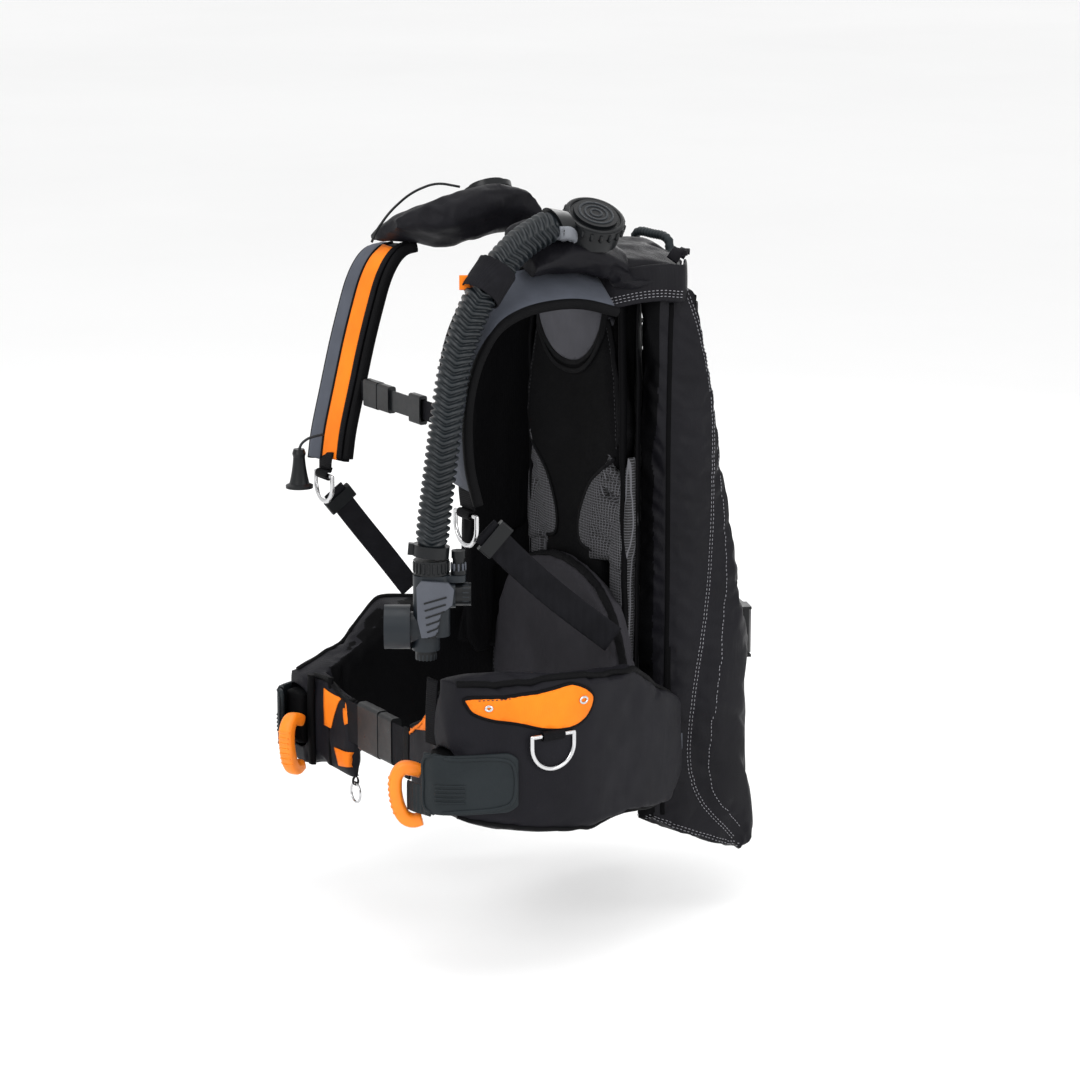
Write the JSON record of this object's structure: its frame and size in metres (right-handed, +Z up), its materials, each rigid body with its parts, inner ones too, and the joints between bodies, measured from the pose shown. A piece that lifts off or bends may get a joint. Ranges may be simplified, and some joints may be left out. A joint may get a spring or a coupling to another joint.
{
  "type": "buoyancy compensator vest",
  "caption": "Jacket-style buoyancy vest for diving with an air cell, padded harness, power inflator, weight pockets and a cylinder band.",
  "frame": {"origin": "on the axis of the diving cylinder that the band is buckled round, at the middle of the band's height", "axes": "+Z up, the wearer faces -Y, +X to the wearer's left"},
  "size_m": [0.4574, 0.5258, 0.7432],
  "materials": {
    "shell_fabric": "matt coated nylon",
    "pad_fabric": "matt padded nylon",
    "back_fabric": "matt woven nylon over foam",
    "panel_fabric": "matt woven nylon",
    "mesh_fabric": "open spacer mesh",
    "orange_fabric": "matt coated nylon",
    "webbing": "flat woven webbing",
    "black_plastic": "satin moulded",
    "slate_plastic": "satin moulded",
    "grip_rubber": "matt moulded",
    "hose_rubber": "satin ribbed",
    "orange_plastic": "satin moulded",
    "stainless": "polished"
  },
  "bodies": {
    "harness": {"air_cell_center": "shell_fabric", "air_cell_left": "shell_fabric", "air_cell_right": "shell_fabric", "air_cell_collar": "shell_fabric", "waist_lobe_left": "shell_fabric", "waist_lobe_right": "shell_fabric", "hose_keeper": "shell_fabric", "shoulder_strap_left": "pad_fabric", "shoulder_strap_right": "pad_fabric", "back_pad": "back_fabric", "top_panel": "panel_fabric", "lumbar_pad": "panel_fabric", "mesh_panels": "mesh_fabric", "shoulder_strap_trim": "orange_fabric", "waist_trim": "orange_fabric", "tank_band": "webbing", "carry_handle": "webbing", "valve_strap": "webbing", "shoulder_webbing_left": "webbing", "shoulder_webbing_right": "webbing", "sternum_webbing": "webbing", "waist_webbing_right": "webbing", "ring_loops": "webbing", "backpack_plate": "black_plastic", "cam_buckle_frame": "black_plastic", "webbing_sliders": "black_plastic", "sternum_buckle_socket": "black_plastic", "sternum_slider": "black_plastic", "shoulder_elbow": "black_plastic", "elbow_cap": "black_plastic", "shoulder_dump_valve": "black_plastic", "rear_dump_valve": "black_plastic", "waist_buckle_socket": "black_plastic", "hose_collar": "black_plastic", "inflator_nut": "black_plastic", "inflator_body": "slate_plastic", "mouthpiece": "slate_plastic", "inflator_grip": "grip_rubber", "cylinder_grips": "grip_rubber", "corrugated_hose": "hose_rubber", "dump_cable": "hose_rubber", "supply_nipple": "stainless"},
    "cam_lever": {"cam_lever": "black_plastic"},
    "left_shoulder_ring": {"shoulder_ring_left": "stainless"},
    "right_shoulder_ring": {"shoulder_ring_right": "stainless"},
    "left_waist_ring": {"waist_ring_left": "stainless"},
    "right_waist_ring": {"waist_ring_right": "stainless"},
    "split_ring": {"split_ring": "stainless"},
    "sternum_plug": {"sternum_buckle_plug": "black_plastic"},
    "waist_plug": {"waist_buckle_plug": "black_plastic", "waist_webbing_left": "webbing"},
    "inflate_button": {"inflate_button": "black_plastic"},
    "deflate_button": {"deflate_button": "black_plastic"},
    "dump_knob": {"dump_knob": "black_plastic"},
    "left_weight_pocket": {"weight_pouch_left": "shell_fabric", "pouch_cover_left": "slate_plastic", "pouch_handle_left": "orange_plastic"},
    "right_weight_pocket": {"weight_pouch_right": "shell_fabric", "pouch_cover_right": "slate_plastic", "pouch_handle_right": "orange_plastic"}
  },
  "joints": [
    {"name": "cam_lever_pivot", "type": "hinge", "parent": "harness", "child": "cam_lever", "pos_m": [0.04718, 0.07116, 0], "axis": [0, 0, -1], "range_deg": [0, 150]},
    {"name": "left_shoulder_ring_swing", "type": "hinge", "parent": "harness", "child": "left_shoulder_ring", "pos_m": [0.105, -0.318, 0.186], "axis": [-1, 0, 0], "range_deg": [0, 80]},
    {"name": "right_shoulder_ring_swing", "type": "hinge", "parent": "harness", "child": "right_shoulder_ring", "pos_m": [-0.134, -0.364, 0.191], "axis": [-1, 0, 0], "range_deg": [0, 18]},
    {"name": "left_waist_ring_swing", "type": "hinge", "parent": "harness", "child": "left_waist_ring", "pos_m": [0.2245, -0.282, -0.03], "axis": [0, -1, 0], "range_deg": [0, 110]},
    {"name": "right_waist_ring_swing", "type": "hinge", "parent": "harness", "child": "right_waist_ring", "pos_m": [-0.2245, -0.282, -0.03], "axis": [0, 1, 0], "range_deg": [0, 110]},
    {"name": "split_ring_swing", "type": "hinge", "parent": "harness", "child": "split_ring", "pos_m": [-0.074, -0.36, -0.1458], "axis": [1, 0, 0], "range_deg": [-60, 60]},
    {"name": "sternum_buckle_release", "type": "slide", "parent": "harness", "child": "sternum_plug", "axis": [1, 0, 0], "range_m": [0, 0.022]},
    {"name": "waist_buckle_release", "type": "slide", "parent": "harness", "child": "waist_plug", "axis": [1, 0, 0], "range_m": [0, 0.028]},
    {"name": "inflate_press", "type": "slide", "parent": "harness", "child": "inflate_button", "axis": [-0.5, -0.866, 0], "range_m": [0, 0.004], "stiffness_N_per_m": 400, "springref_m": -0.003},
    {"name": "deflate_press", "type": "slide", "parent": "harness", "child": "deflate_button", "axis": [0, 0, 1], "range_m": [0, 0.004], "stiffness_N_per_m": 400, "springref_m": -0.003},
    {"name": "dump_pull", "type": "slide", "parent": "harness", "child": "dump_knob", "axis": [0, 0, -1], "range_m": [0, 0.015], "stiffness_N_per_m": 250, "springref_m": -0.004},
    {"name": "left_pocket_release", "type": "slide", "parent": "harness", "child": "left_weight_pocket", "axis": [-0.2556, -0.9668, 0], "range_m": [0, 0.14]},
    {"name": "right_pocket_release", "type": "slide", "parent": "harness", "child": "right_weight_pocket", "axis": [0.2556, -0.9668, 0], "range_m": [0, 0.14]}
  ]
}
